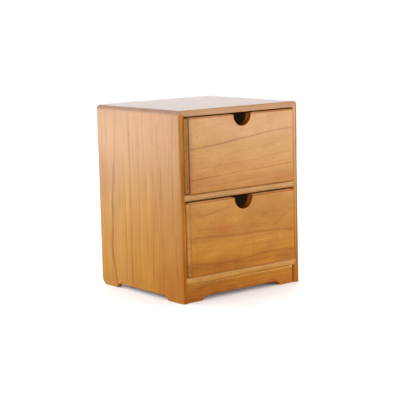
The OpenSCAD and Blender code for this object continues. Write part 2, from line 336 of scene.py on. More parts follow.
def wood(name, along, across, depth, seed, light, dark, end, warp=None, tone=0.55, rings=(9.0, 35.0, 0.5), grain=1.0,
         fibre=0.5, flecks=0.4, coat=0.26, coat_rough=0.30, rough=0.5, paint=None, bump=0.25, cloud=1.0, dash=0.6, thin=None):
    """Wood with its grain along one axis. along, across and depth are the axes' letters.
    warp: (along, across) points that the grain follows, in mm.
    rings: spacing in mm, the angle at which the growth rings meet the face in degrees, and strength.
    end: the end grain's tint, or (depth coordinate, tint) stops.
    thin(t, x, n): where the lacquer is thinner, as a factor from 0 to 1.
    paint(t, color, a, c, x, n): adds a board's grain lines and tones, and its painted light, shade and reflection, over
    its length, width, depth and normal."""
    t = Tree(name)
    coord = t.add("ShaderNodeTexCoord")
    sep = t.add("ShaderNodeSeparateXYZ")
    t.put(sep.inputs[0], coord.outputs["Object"])
    axis = {a: t.mul(sep.outputs[i], 1000.0) for i, a in enumerate("XYZ")}
    a, c, d = axis[along], axis[across], axis[depth]
    nsep = t.add("ShaderNodeSeparateXYZ")
    t.put(nsep.inputs[0], coord.outputs["Normal"])
    normal = dict(zip("XYZ", nsep.outputs))
    end_mask = t.ramp(t.math("ABSOLUTE", normal[along]), 0.55, 0.93)

    # the grain's own coordinate: across the board, bent as the fibres bend
    g = c
    if warp:
        lo, hi = warp[0][0], warp[-1][0]
        ys = [y for _, y in warp]
        pad = (max(ys) - min(ys)) * 0.25 + 1.0
        g = t.sub(g, t.curve(a, warp, lo, hi, min(ys) - pad, max(ys) + pad))
    slow = t.vec(t.mul(c, 1 / 60), t.mul(d, 1 / 60), t.mul(a, 1 / 150))
    g = t.add_(g, t.mul(t.sub(t.noise(slow, 1.0, 2.0, 0.5, seed + 1.7), 0.5), 7.0))
    fine_warp = t.vec(t.mul(c, 1 / 14), t.mul(d, 1 / 14), t.mul(a, 1 / 40))
    jitter = t.mul(t.sub(t.noise(fine_warp, 1.0, 2.0, 0.5, seed + 3.1), 0.5), 2.2)
    g = t.add_(g, jitter)

    # growth rings: planes that meet the face at an angle, unevenly spaced
    spacing, angle, strength = rings
    ang = math.radians(angle)
    r = t.add_(t.mul(g, math.sin(ang)), t.mul(d, math.cos(ang)))
    r = t.add_(r, t.mul(t.sub(t.noise(t.vec(t.mul(r, 1 / 22), 0.0, t.mul(a, 1 / 500)), 1.0, 1.0, 0.5, seed + 5.3), 0.5), 16.0))
    phase = t.math("FRACT", t.mul(r, 1 / spacing))
    late = t.math("POWER", phase, 5.0)
    late = t.mul(late, t.ramp(phase, 0.94, 1.0, 1.0, 0.0))
    vary = t.ramp(t.noise(t.vec(t.mul(r, 1 / 30), 0.0, t.mul(a, 1 / 220)), 1.0, 2.0, 0.5, seed + 7.9), 0.38, 0.66)
    ring = t.mul(late, vary, strength)

    # broad changes of tone, strands and fibres
    broad = t.noise(t.vec(t.mul(g, 1 / 26), t.mul(d, 1 / 26), t.mul(a, 1 / 380)), 1.0, 3.0, 0.55, seed + 11.0)
    broad = t.ramp(broad, 0.30, 0.70, 0.0, 1.0, smooth=False)
    mid = t.noise(t.vec(t.mul(g, 1 / 6.5), t.mul(d, 1 / 6.5), t.mul(a, 1 / 190)), 1.0, 2.0, 0.6, seed + 13.0)
    strands = t.noise(t.vec(t.mul(g, 1 / 2.3), t.mul(d, 1 / 2.3), t.mul(a, 1 / 85)), 1.0, 3.0, 0.62, seed + 15.0)
    strands = t.ramp(strands, 0.30, 0.70, 0.0, 1.0, smooth=False)
    fibres = t.noise(t.vec(t.mul(g, 1 / 0.9), t.mul(d, 1 / 0.9), t.mul(a, 1 / 42)), 1.0, 3.0, 0.6, seed + 17.0)
    pores = t.noise(t.vec(t.mul(g, 1 / 0.5), t.mul(d, 1 / 0.5), t.mul(a, 1 / 9)), 1.0, 1.0, 0.5, seed + 19.0)
    pores = t.ramp(pores, 0.64, 0.76)

    darkness = t.add_(t.mul(broad, tone), t.mul(t.sub(mid, 0.5), 1.1 * tone), t.mul(ring, 0.55))
    color = t.mix(t.math("MINIMUM", t.math("MAXIMUM", darkness, 0.0), 1.0), light, dark)
    k = grain
    color = t.sway(strands, color, (1 - 0.10 * k, 1 - 0.13 * k, 1 - 0.18 * k), (1 + 0.10 * k, 1 + 0.13 * k, 1 + 0.18 * k))
    clouds = t.noise(t.vec(t.mul(c, 1 / 15), t.mul(d, 1 / 15), t.mul(a, 1 / 34)), 1.0, 2.0, 0.55, seed + 23.0)
    clouds = t.ramp(clouds, 0.28, 0.72, 0.0, 1.0, smooth=False)
    color = t.sway(clouds, color, (1 - 0.045 * cloud, 1 - 0.06 * cloud, 1 - 0.10 * cloud), (1 + 0.045 * cloud, 1 + 0.06 * cloud, 1 + 0.10 * cloud))
    dashes = t.noise(t.vec(t.mul(g, 1 / 1.3), t.mul(d, 1 / 1.3), t.mul(a, 1 / 6)), 1.0, 2.0, 0.6, seed + 31.0)
    dashes = t.ramp(dashes, 0.30, 0.70, 0.0, 1.0, smooth=False)
    color = t.sway(dashes, color, (1 - 0.05 * dash, 1 - 0.065 * dash, 1 - 0.09 * dash), (1 + 0.05 * dash, 1 + 0.065 * dash, 1 + 0.09 * dash))
    if paint:
        color = paint(t, color, a, t.add_(c, jitter), d, normal)
    factor = t.add_(1.0, t.mul(t.sub(fibres, 0.5), 0.30 * fibre), t.mul(pores, -0.22 * flecks))
    color = t.mix(1.0, color, t.shade(factor), "MULTIPLY")

    # end grain: the ring lines and open pores as dots
    dots = t.noise(t.vec(t.mul(g, 1 / 1.4), t.mul(d, 1 / 1.1), t.mul(a, 1 / 3)), 1.0, 3.0, 0.6, seed + 29.0)
    end_line = t.ramp(phase, 0.45, 0.95)
    end_tone = t.add_(1.0, t.mul(t.sub(dots, 0.5), 0.9), t.mul(end_line, -0.08))
    tinted = t.bands(color, d, end, 12.0) if isinstance(end, list) else t.mix(1.0, color, end, "MULTIPLY")
    end_color = t.mix(1.0, tinted, t.shade(end_tone), "MULTIPLY")
    color = t.mix(end_mask, color, end_color)

    height = t.add_(t.mul(fibres, 0.6), t.mul(strands, 0.5), t.mul(pores, -0.5), t.mul(ring, -0.3), t.mul(t.mul(dots, end_mask), 1.2))
    bump_node = t.add("ShaderNodeBump")
    bump_node.inputs["Strength"].default_value = bump
    bump_node.inputs["Distance"].default_value = 0.00012
    t.put(bump_node.inputs["Height"], height)

    bsdf = t.add("ShaderNodeBsdfPrincipled")
    t.put(bsdf.inputs["Base Color"], color)
    t.put(bsdf.inputs["Roughness"], t.add_(rough, t.mul(t.sub(fibres, 0.5), 0.16), t.mul(end_mask, 0.12)))
    t.put(bsdf.inputs["Normal"], bump_node.outputs[0])
    bsdf.inputs["Specular IOR Level"].default_value = 0.05
    t.put(bsdf.inputs["Coat Weight"], t.mul(thin(t, d, normal), coat) if thin else coat)
    bsdf.inputs["Coat Roughness"].default_value = coat_rough
    bsdf.inputs["Coat IOR"].default_value = 1.5
    out = t.add("ShaderNodeOutputMaterial")
    t.t.links.new(bsdf.outputs[0], out.inputs[0])
    return t.mat


def steel(name, seed):
    """Bright drawn wire, dulled a little."""
    t = Tree(name)
    coord = t.add("ShaderNodeTexCoord")
    grime = t.noise(coord.outputs["Object"], 900.0, 3.0, 0.6, seed)
    rub = t.noise(coord.outputs["Object"], 4000.0, 2.0, 0.5, seed + 2)
    bsdf = t.add("ShaderNodeBsdfPrincipled")
    t.put(bsdf.inputs["Base Color"], t.mix(t.ramp(grime, 0.35, 0.75), (0.62, 0.61, 0.58), (0.36, 0.34, 0.30)))
    bsdf.inputs["Metallic"].default_value = 1.0
    t.put(bsdf.inputs["Roughness"], t.add_(0.28, t.mul(rub, 0.2)))
    bump_node = t.add("ShaderNodeBump")
    bump_node.inputs["Strength"].default_value = 0.2
    bump_node.inputs["Distance"].default_value = 0.00005
    t.put(bump_node.inputs["Height"], rub)
    t.put(bsdf.inputs["Normal"], bump_node.outputs[0])
    out = t.add("ShaderNodeOutputMaterial")
    t.t.links.new(bsdf.outputs[0], out.inputs[0])
    return t.mat


# ------------------------------------------------------------------ the boards' materials

LIGHT = (0.321, 0.137, 0.0163)
DARK = (0.251, 0.0846, 0.0070)
FRONT_LIGHT = (0.319, 0.126, 0.0118)
FRONT_DARK = (0.250, 0.0745, 0.0044)
EDGE_LIGHT = (0.380, 0.198, 0.0578)
EDGE_DARK = (0.311, 0.136, 0.0270)
TOP_LIGHT = (0.248, 0.168, 0.118)
TOP_DARK = (0.194, 0.104, 0.0507)
END = (0.80, 0.66, 0.50)


# painted shade and light of the side panels' front edges: (height, tint) stops for the edge, then for its rounding next
# to the drawers
LEFT_STILE_SHADING = ([(0, (0.74, 0.53, 0.30)), (50, (0.76, 0.53, 0.30)), (80, (0.88, 0.72, 0.68)), (112, (0.85, 0.69, 0.60)), (135, (0.74, 0.55, 0.42)),
               (165, (0.73, 0.54, 0.44)), (190, (0.88, 0.84, 1.15)), (210, (0.97, 0.94, 1.35)), (244, (0.97, 0.95, 1.35))],
              [(0, (1.0, 1.0, 0.8)), (35, (1.28, 1.35, 1.2)), (95, (1.55, 1.80, 2.3)), (122, (1.40, 1.60, 1.9)), (137, (0.90, 0.86, 0.55)), (185, (0.88, 0.82, 0.48)), (200, (0.83, 0.73, 0.36)), (244, (0.83, 0.73, 0.34))])
RIGHT_STILE_SHADING = ([(0, (0.66, 0.54, 0.34)), (50, (0.64, 0.54, 0.34)), (110, (0.63, 0.59, 0.70)), (135, (0.66, 0.66, 0.85)), (155, (0.67, 0.74, 1.4)),
                (190, (0.63, 0.75, 1.75)), (244, (0.68, 0.84, 2.1))],
               [(0, (1.45, 1.25, 1.2)), (24, (1.45, 1.28, 1.3)), (40, (1.46, 1.50, 1.9)), (110, (1.84, 1.96, 2.9)), (145, (1.95, 2.05, 2.7)), (244, (2.2, 2.35, 3.1))])


def stile_masks(t, n, across, inward):
    """A side panel's front edge, and its part next to the drawers. across: mm from the panel's outer face."""
    front = t.ramp(t.mul(n["Y"], -1.0), 0.80, 0.97)
    inner = t.mul(t.ramp(inward, 0.12, 0.45), t.ramp(t.mul(n["Y"], -1.0), 0.05, 0.3))
    edge = t.math("MAXIMUM", front, inner)
    return edge, t.mul(t.ramp(across, 3.8, 4.6), edge)


def stile_painted_shading(t, color, a, n, across, inward, tones):
    """A side panel's front edge: painted shade and light that change slowly with height, darker and more orange low
    down and paler and bluer towards the top, and the rounding next to the drawers with its own painted light and shade.
    """
    edge, rim = stile_masks(t, n, across, inward)
    dark = t.bands(color, a, tones[0])
    dark = t.mix(rim, dark, t.bands(dark, a, tones[1]))
    return t.mix(edge, color, dark)


def left_thin(t, x, n):
    edge, rim = stile_masks(t, n, t.add_(x, 99.0), n["X"])
    return t.add_(1.0, t.mul(edge, -0.55), t.mul(rim, -0.3))


def right_thin(t, x, n):
    edge, rim = stile_masks(t, n, t.sub(99.0, x), t.mul(n["X"], -1.0))
    return t.add_(1.0, t.mul(edge, -0.4))


def left_grain_and_painted_light(t, color, a, c, x, n):
    y = lambda *pts: [(z, 92.6 - w) for z, w in pts]
    deep, soft = (0.50, 0.36, 0.24), (0.76, 0.67, 0.56)
    color = t.line(color, a, c, y((2, 35), (25, 32), (38, 29), (52, 27.5), (75, 29), (100, 30.5), (128, 32), (152, 34.5), (172, 37), (195, 39.5), (243, 41)),
                   3.4, deep, ((2, 0.85), (70, 0.9), (150, 0.75), (180, 0.5), (243, 0.38)), 1.0)
    color = t.line(color, a, c, y((2, 72), (60, 71.5), (130, 71.5), (190, 72), (243, 71)), 2.3, (0.62, 0.50, 0.38), ((2, 0.9), (120, 0.8), (180, 0.6), (243, 0.55)), 2.0)
    color = t.line(color, a, c, y((8, 88), (60, 89), (130, 91), (190, 91.5), (238, 93)), 1.8, soft, None, 3.0)
    color = t.line(color, a, c, y((12, 58), (80, 59.5), (185, 57)), 2.2, soft, ((12, 1.0), (110, 0.8), (185, 0.2)), 4.0)
    color = t.line(color, a, c, y((20, 118), (60, 119.5), (120, 121), (172, 121)), 1.7, (0.80, 0.72, 0.62), None, 5.0)
    color = t.line(color, a, c, y((8, 131), (70, 133), (110, 136), (150, 134), (190, 133.5), (232, 134.5)), 1.7, (0.80, 0.72, 0.62), None, 6.0)
    color = t.line(color, a, c, y((10, 139), (80, 140.5), (175, 138)), 1.5, soft, None, 7.0)
    color = t.line(color, a, c, y((85, 162), (120, 163), (165, 162)), 1.8, (0.80, 0.72, 0.62), None, 8.0)
    color = t.line(color, a, c, y((190, 166), (240, 165)), 1.6, soft, None, 9.0)
    color = t.line(color, a, c, y((8, 170), (60, 168.5), (90, 168)), 1.6, soft, None, 10.0)
    color = t.line(color, a, c, y((8, 101), (100, 99)), 1.5, soft, ((8, 1.0), (100, 0.3)), 11.0)
    color = t.line(color, a, c, y((150, 104), (238, 103)), 1.5, soft, ((150, 0.3), (238, 0.9)), 12.0)
    for along, across, size in ((100, 64.5, (95, 3.0)), (55, 85, (40, 3.2)), (110, 113, (90, 3.0)), (60, 47, (60, 6.0)), (210, 32, (40, 4.0))):
        color = t.patch(color, a, c, (along, 92.6 - across), size, (1.07, 1.08, 1.08), across)
    color = t.patch(color, a, c, (209, 20.6), (2.5, 1.6), (0.72, 0.62, 0.58), 3.3)
    color = t.patch(color, a, c, (194, -41.4), (2.5, 1.4), (0.78, 0.70, 0.64), 4.4)
    color = t.patch(color, a, c, (20, -60), (40, 34), (0.94, 0.84, 0.72), 5.5)
    color = t.patch(color, a, c, (150, 80), (45, 12), (0.91, 0.88, 0.88), 6.6)
    # painted reflection and light on the outer face, paler and bluer towards the top, and a little darker towards the
    # front edge: rear half and front half
    rear = t.bands(color, a, [(0, (1.02, 1.08, 1.10)), (29, (1.03, 1.10, 1.14)), (70, (1.03, 1.12, 1.25)), (110, (1.04, 1.18, 1.90)),
                              (160, (1.02, 1.14, 2.75)), (214, (0.99, 1.13, 2.95)), (244, (0.97, 1.11, 3.00))])
    fore = t.bands(color, a, [(0, (1.05, 1.00, 0.50)), (29, (1.04, 1.00, 0.55)), (70, (1.01, 1.00, 0.75)), (110, (1.03, 1.06, 1.27)),
                              (160, (1.05, 1.19, 2.60)), (214, (1.12, 1.32, 4.00)), (244, (1.13, 1.33, 4.10))])
    face = t.mix(t.ramp(c, 55, -35), rear, fore)
    face = t.patch(face, a, c, (110, 8), (110, 22), (1.03, 1.05, 0.95), 7.7)
    face = t.tint(t.ramp(c, -32, -52), face, (0.95, 0.93, 0.92))
    color = t.mix(t.ramp(t.mul(n["X"], -1.0), 0.6, 0.96), color, face)
    # the outer arris
    arris = t.mul(t.ramp(t.mul(n["X"], -1.0), 0.15, 0.40), t.ramp(t.mul(n["X"], -1.0), 0.95, 0.75), t.ramp(t.mul(n["Y"], -1.0), 0.1, 0.3))
    color = t.mix(arris, color, t.bands(color, a, [(0, (1.05, 0.98, 0.9)), (60, (1.03, 0.96, 0.95)), (110, (0.97, 0.92, 0.95)), (150, (0.94, 0.86, 0.95)), (244, (0.95, 0.86, 0.95))]))
    return stile_painted_shading(t, color, a, n, t.add_(x, 99.0), n["X"], LEFT_STILE_SHADING)


def right_grain_and_painted_light(t, color, a, c, x, n):
    deep, soft = (0.58, 0.45, 0.33), (0.78, 0.70, 0.60)
    for path, half, rgb, seed in (([(2, 46), (50, 49), (90, 46), (140, 42), (190, 40), (243, 37)], 2.8, deep, 1.0),
                                  ([(2, 8), (70, 6), (150, 9), (243, 12)], 2.0, soft, 2.0),
                                  ([(10, -22), (80, -20), (160, -24), (236, -23)], 2.2, deep, 3.0),
                                  ([(4, 68), (100, 70), (190, 66), (243, 67)], 1.8, soft, 4.0),
                                  ([(30, -48), (110, -51), (200, -49)], 1.7, soft, 5.0),
                                  ([(60, 25), (140, 24), (238, 21)], 1.6, soft, 6.0),
                                  ([(8, -66), (90, -64), (170, -67)], 1.5, soft, 7.0)):
        color = t.line(color, a, c, path, half, rgb, None, seed)
    color = t.patch(color, a, c, (120, -5), (110, 12), (1.06, 1.07, 1.08), 8.0)
    color = t.patch(color, a, c, (70, 60), (60, 14), (1.05, 1.04, 1.0), 9.0)
    # painted reflection and light on the outer face: paler and bluer towards the top
    face = t.bands(color, a, [(0, (1.07, 1.02, 0.75)), (70, (1.06, 1.05, 1.0)), (140, (1.06, 1.10, 1.6)), (244, (1.07, 1.18, 2.5))])
    color = t.mix(t.ramp(n["X"], 0.6, 0.96), color, face)
    # the inner face beside the plinth: painted light, lightened where it lies in the shade beside the plinth
    low = t.mul(t.ramp(a, 26, 23), t.ramp(t.mul(n["X"], -1.0), 0.6, 0.9))
    color = t.tint(low, color, (1.45, 1.22, 1.0))
    return stile_painted_shading(t, color, a, n, t.sub(99.0, x), t.mul(n["X"], -1.0), RIGHT_STILE_SHADING)


def top_paint(t, color, a, c, x, n):
    """The long edges and the upper face, each with its own tone."""
    rail = t.bands(color, a, [(-99, (1.25, 0.92, 0.46)), (-40, (1.26, 0.92, 0.48)), (10, (1.15, 0.79, 0.31)), (99, (1.15, 0.77, 0.31))])
    upper = t.tint(1.0, color, (1.22, 0.84, 0.36))
    side = t.math("ABSOLUTE", n["X"])
    upper = t.tint(t.mul(t.ramp(side, 0.25, 0.55), t.ramp(side, 0.93, 0.75)), upper, (0.95, 1.14, 1.8))
    return t.mix(t.ramp(t.math("ABSOLUTE", n["Y"]), 0.55, 0.9), upper, rail)


def shelf_painted_shade(t, color, a, c, x, n):
    """Painted shade: darker and greyer towards the lower edge of the front, and darker at both ends where it meets the
    side panels.
    """
    color = t.bands(color, c, [(129.6, (0.66, 0.58, 0.52)), (131.6, (0.76, 0.70, 0.66)), (133.4, (0.92, 0.92, 0.98)), (136.5, (0.93, 0.93, 0.98)), (138.6, (0.90, 0.88, 0.86))])
    return t.tint(t.math("MAXIMUM", t.ramp(a, -90, -93.5), t.ramp(a, 89.5, 92)), color, (0.84, 0.76, 0.66))


def bottom_painted_shading(t, color, a, c, x, n):
    # painted shade and light: darker and more orange towards the lower edge of the front, a little lighter at the top,
    # and darker at both ends where it meets the side panels
    color = t.bands(color, c, [(24.2, (1.0, 0.90, 0.50)), (26.2, (1.0, 0.90, 0.52)), (29.5, (1.08, 1.05, 0.92)), (33.2, (1.10, 1.07, 0.96))])
    return t.tint(t.math("MAXIMUM", t.ramp(a, -90, -93.5), t.ramp(a, 88.5, 91.5)), color, (0.80, 0.68, 0.50))


def plinth_grain_and_highlight(t, color, a, c, x, n):
    color = t.bands(color, a, [(-92, (0.82, 0.69, 0.26)), (-56, (0.82, 0.69, 0.27)), (-42, (0.84, 0.70, 0.28)), (10, (0.93, 0.83, 0.32)), (92, (0.99, 0.93, 0.62))])
    color = t.line(color, a, c, [(-91, 13), (-40, 12), (30, 14), (88, 13)], 1.4, (0.82, 0.74, 0.66), None, 1.0)
    color = t.patch(color, a, c, (-44, 7), (9, 3), (0.80, 0.70, 0.60), 2.0)
    color = t.line(color, a, c, [(-85, 17), (-30, 17.5), (40, 18), (88, 16.5)], 1.0, (0.86, 0.80, 0.72), None, 3.0)
    color = t.line(color, a, c, [(-60, 9), (0, 8.5), (60, 9.5)], 1.0, (0.88, 0.82, 0.74), None, 4.0)
    color = t.bands(color, c, [(0, (1.0, 0.96, 0.9)), (10, (1.0, 0.97, 0.93)), (14, (1.03, 1.03, 1.0)), (18, (0.98, 1.0, 1.05)), (21, (0.97, 1.02, 1.15)), (24, (1.0, 1.0, 1.0))])
    for along, across, size, rgb in ((-72, 15, (9, 4), (0.90, 0.82, 0.72)), (-18, 10, (12, 4), (0.88, 0.78, 0.66)), (24, 17, (16, 3), (1.06, 1.09, 1.06)),
                                     (52, 9, (12, 4), (0.90, 0.82, 0.74)), (-58, 6, (8, 4), (1.07, 1.10, 1.10)), (74, 15, (9, 4), (1.06, 1.08, 1.05))):
        color = t.patch(color, a, c, (along, across), size, rgb, along)
    # painted glint: a bright spot on the top right corner
    color = t.patch(color, a, c, (86.8, 22.9), (2.4, 1.3), (1.5, 2.2, 8.0), 5.0)
    # the upper arris: a painted highlight, where it would catch the light
    return t.tint(t.mul(t.ramp(c, 21.2, 22.3), t.ramp(t.mul(n["Y"], -1.0), -0.2, 0.2)), color, (1.26, 1.52, 4.6))


def front_edges(t, color, a, c, n, left, right, top, side_rgb, top_arris_shade_rgb):
    """A drawer front's left arris, darkened, its notch, soaked dark, its top arris, darkened as painted shade under the
    rail, and its top face, lightened as painted light where it lies in the shade of the gap.
    """
    facing = t.mul(n["Y"], -1.0)
    side = t.mul(t.ramp(a, left + 1.8, left + 1.3), t.ramp(facing, 0.12, 0.35))
    color = t.tint(side, color, side_rgb)
    middle = (left + right) / 2
    notch = t.mul(t.ramp(t.math("ABSOLUTE", t.sub(a, middle)), 17.5, 16.5), t.ramp(facing, 0.55, 0.2), t.ramp(c, top - 19, top - 17))
    color = t.tint(notch, color, (0.46, 0.23, 0.12))
    # painted shade on the top arris
    upper = t.mul(t.ramp(c, top - 1.75, top - 1.25), t.ramp(n["Z"], 0.97, 0.85), t.sub(1.0, notch))
    color = t.tint(upper, color, top_arris_shade_rgb)
    # painted light on the top face
    return t.tint(t.mul(t.ramp(n["Z"], 0.8, 0.97), t.sub(1.0, notch)), color, (2.5, 3.0, 12.0))


def upper_grain_and_painted_light(t, color, a, c, x, n):
    # painted shade and reflection: darker towards the bottom, paler and bluer towards the top
    color = t.bands(color, c, [(139, (0.93, 0.86, 0.80)), (153, (0.92, 0.88, 0.84)), (158, (1.0, 0.97, 0.94)), (185, (1.02, 1.04, 1.02)),
                               (198, (1.03, 1.06, 1.06)), (206, (1.10, 1.20, 1.24)), (233, (1.12, 1.24, 1.30))])
    color = t.line(color, a, c, [(-88, 194.5), (-49, 197.5), (-19, 201), (1, 203), (51, 208), (88, 210)], 1.35, (0.62, 0.50, 0.44), ((-88, 1.0), (88, 0.75)), 1.0)
    color = t.line(color, a, c, [(-88, 156), (-49, 157.5), (-9, 160), (41, 162), (88, 164.5)], 1.3, (0.64, 0.52, 0.46), ((-88, 1.0), (88, 0.75)), 2.0)
    color = t.line(color, a, c, [(-84, 183), (-40, 184), (10, 188), (60, 193)], 1.0, (0.84, 0.77, 0.72), None, 3.0)
    color = t.line(color, a, c, [(-70, 170), (-20, 172), (40, 176), (86, 181)], 1.0, (0.84, 0.77, 0.72), None, 4.0)
    color = t.line(color, a, c, [(-60, 147), (0, 149), (80, 153)], 1.1, (0.84, 0.77, 0.70), None, 5.0)
    color = t.patch(color, a, c, (70, 147), (22, 5), (0.97, 0.84, 0.80), 1.0)
    color = t.patch(color, a, c, (-83, 190), (7, 38), (0.92, 0.90, 0.90), 2.0)
    color = t.patch(color, a, c, (-68, 198), (10, 20), (0.99, 1.03, 0.90), 3.0)
    color = t.patch(color, a, c, (5, 168), (40, 8), (0.97, 0.92, 0.88), 4.0)
    # painted reflection and light on the front face: paler and bluer towards the top, and darker near the left end
    face = t.bands(color, c, [(139, (1.07, 1.22, 2.4)), (151, (1.10, 1.27, 2.7)), (186, (1.15, 1.43, 3.8)), (217, (1.06, 1.24, 4.4)), (234, (1.06, 1.22, 4.4))])
    face = t.tint(t.ramp(a, -80.5, -85), face, (0.86, 0.82, 0.80))
    face = t.tint(t.mul(t.ramp(a, -50, -75), t.ramp(c, 200, 185)), face, (0.95, 0.91, 0.92))
    color = t.mix(t.ramp(t.mul(n["Y"], -1.0), 0.45, 0.9), color, face)
    end = t.mul(t.ramp(t.mul(n["X"], -1.0), 0.6, 0.9), t.ramp(c, 158, 172), t.ramp(c, 206, 192))
    color = t.tint(end, color, (1.16, 1.18, 1.18))
    color = t.tint(t.ramp(t.mul(n["X"], -1.0), 0.6, 0.9), color, (0.92, 0.88, 0.92))
    return front_edges(t, color, a, c, n, -87.7, 88.3, 234.2, (0.50, 0.40, 0.42), (0.80, 0.58, 0.62))


def lower_grain_and_painted_light(t, color, a, c, x, n):
    left = t.bands(color, c, ((33, (0.76, 0.61, 0.46)), (46, (0.77, 0.62, 0.47)), (52, (0.93, 0.86, 0.68)), (58, (1.02, 0.99, 0.80)), (75, (1.03, 1.01, 0.84)),
                              (79, (0.92, 0.86, 0.68)), (88, (0.96, 0.92, 0.80)), (102, (1.02, 1.06, 0.94)), (112, (0.98, 1.00, 0.92)), (126, (1.08, 1.22, 1.30))))
    right = t.bands(color, c, ((33, (0.89, 0.76, 0.50)), (48, (0.89, 0.76, 0.52)), (54, (1.0, 0.96, 0.76)), (62, (1.0, 0.98, 0.76)), (68, (1.09, 1.10, 0.84)),
                               (74, (0.98, 0.94, 0.80)), (80, (0.94, 0.88, 0.74)), (90, (0.95, 0.94, 0.80)), (108, (0.95, 0.96, 0.82)), (126, (1.04, 1.12, 1.10))))
    color = t.mix(t.ramp(a, -45, 15), left, right)
    color = t.line(color, a, c, [(-89, 83.5), (-59, 82.5), (-19, 80), (31, 79), (61, 77), (88, 75)], 2.6, (0.80, 0.70, 0.62), None, 1.0)
    color = t.line(color, a, c, [(-89, 50), (-59, 47.5), (-39, 46), (11, 48), (26, 50), (51, 50), (88, 47)], 2.0, (0.84, 0.74, 0.66), None, 2.0)
    color = t.line(color, a, c, [(-80, 108), (-49, 113), (-22, 118)], 2.0, (0.82, 0.76, 0.66), None, 3.0)
    color = t.line(color, a, c, [(46, 83), (66, 94), (86, 105)], 1.6, (0.80, 0.70, 0.62), None, 4.0)
    color = t.line(color, a, c, [(-70, 41), (0, 43), (80, 40)], 1.4, (0.86, 0.78, 0.70), None, 5.0)
    color = t.line(color, a, c, [(-75, 69), (-10, 72), (60, 73)], 1.3, (0.90, 0.84, 0.80), None, 6.0)
    color = t.line(color, a, c, [(-85, 93), (-20, 91), (40, 89)], 1.5, (0.90, 0.84, 0.80), None, 7.0)
    color = t.patch(color, a, c, (-36, 92), (18, 9), (0.99, 0.88, 0.80), 1.0)
    color = t.patch(color, a, c, (-12, 106), (26, 12), (1.06, 1.10, 1.04), 2.0)
    color = t.patch(color, a, c, (84, 80), (9, 18), (0.98, 0.88, 0.80), 3.0)
    color = t.patch(color, a, c, (-62, 57), (14, 4), (1.03, 1.05, 0.98), 4.0)
    # painted reflection and light on the front face: paler and bluer towards the top
    face = t.bands(color, c, [(33, (1.05, 1.09, 0.72)), (44, (1.05, 1.09, 0.75)), (72, (1.04, 1.10, 1.5)), (103, (1.05, 1.12, 2.2)), (128, (1.05, 1.12, 2.6))])
    right = t.bands(color, c, [(33, (1.03, 1.07, 0.85)), (44, (1.03, 1.07, 0.85)), (72, (1.06, 1.13, 1.75)), (103, (0.98, 1.02, 1.6)), (128, (1.02, 1.08, 2.4))])
    face = t.mix(t.ramp(a, -45, 15), face, right)
    color = t.mix(t.ramp(t.mul(n["Y"], -1.0), 0.45, 0.9), color, face)
    return front_edges(t, color, a, c, n, -89.2, 86.8, 127.8, (0.86, 0.76, 0.70), (0.72, 0.42, 0.27))


m_left = wood("wood_left_side", "Z", "Y", "X", 1.0, LIGHT, DARK, END, rings=(8.0, 60.0, 0.25), tone=0.4, grain=1.45, coat=0.195,
              paint=left_grain_and_painted_light, thin=left_thin)
m_right = wood("wood_right_side", "Z", "Y", "X", 41.0, LIGHT, DARK, END, rings=(9.0, 55.0, 0.4), tone=0.5, grain=1.3, coat=0.195,
               paint=right_grain_and_painted_light, thin=right_thin)
m_top = wood("wood_top", "X", "Y", "Z", 71.0, TOP_LIGHT, TOP_DARK, (0.99, 1.24, 2.56), rings=(7.0, 60.0, 0.4), tone=0.5, grain=0.6, paint=top_paint)
m_shelf = wood("wood_shelf", "X", "Z", "Y", 83.0, EDGE_LIGHT, EDGE_DARK, END, rings=(5.0, 50.0, 0.5), grain=1.3, fibre=1.0, flecks=0.9, cloud=2.0, dash=2.5, coat=0.21, paint=shelf_painted_shade)
m_bottom = wood("wood_bottom", "X", "Z", "Y", 97.0, EDGE_LIGHT, EDGE_DARK, END, rings=(5.0, 50.0, 0.5), grain=1.3, fibre=1.0, flecks=0.9, cloud=2.0, dash=2.5, coat=0.21, paint=bottom_painted_shading)
m_plinth = wood("wood_plinth", "X", "Z", "Y", 109.0, FRONT_LIGHT, FRONT_DARK, END, rings=(7.0, 60.0, 0.4), grain=1.8, coat=0.16, cloud=2.0, dash=2.0, paint=plinth_grain_and_highlight)
# the fronts' end grain: its own tone, with painted light that makes it paler towards the rear, where it lies in the
# shade of the gap beside the side panel
UPPER_END_GRAIN_AND_LIGHT = [(-90.9, (0.80, 0.85, 2.6)), (-90.1, (0.85, 0.90, 2.8)), (-88.9, (1.20, 1.40, 4.6)), (-87.9, (1.50, 1.80, 6.8)), (-87.0, (1.28, 1.40, 5.0)),
             (-86.2, (1.52, 1.82, 6.8)), (-85.2, (2.15, 2.65, 9.5)), (-83.9, (2.85, 3.8, 11.5)), (-82.0, (2.9, 4.0, 12.0))]
LOWER_END_GRAIN_AND_LIGHT = [(-92.6, (1.10, 1.20, 2.4)), (-92.0, (1.19, 1.35, 2.7)), (-90.7, (1.30, 1.62, 4.6)), (-89.5, (1.46, 1.98, 7.0)), (-88.3, (1.62, 2.25, 9.6)),
             (-87.0, (1.92, 2.80, 11.0)), (-85.8, (2.18, 3.06, 10.5)), (-84.6, (2.33, 2.90, 8.3)), (-82.0, (2.40, 2.90, 8.0))]
RISE = [(-99, 0), (-49, 1.5), (-19, 5), (1, 7), (51, 12), (99, 15)]
m_upper = wood("wood_upper_front", "X", "Z", "Y", 127.0, FRONT_LIGHT, FRONT_DARK, UPPER_END_GRAIN_AND_LIGHT, warp=RISE, rings=(9.0, 60.0, 0.2), tone=0.35, grain=0.3, fibre=1.0, flecks=0.9, cloud=1.8, dash=1.8,
               coat=0.175, paint=upper_grain_and_painted_light)
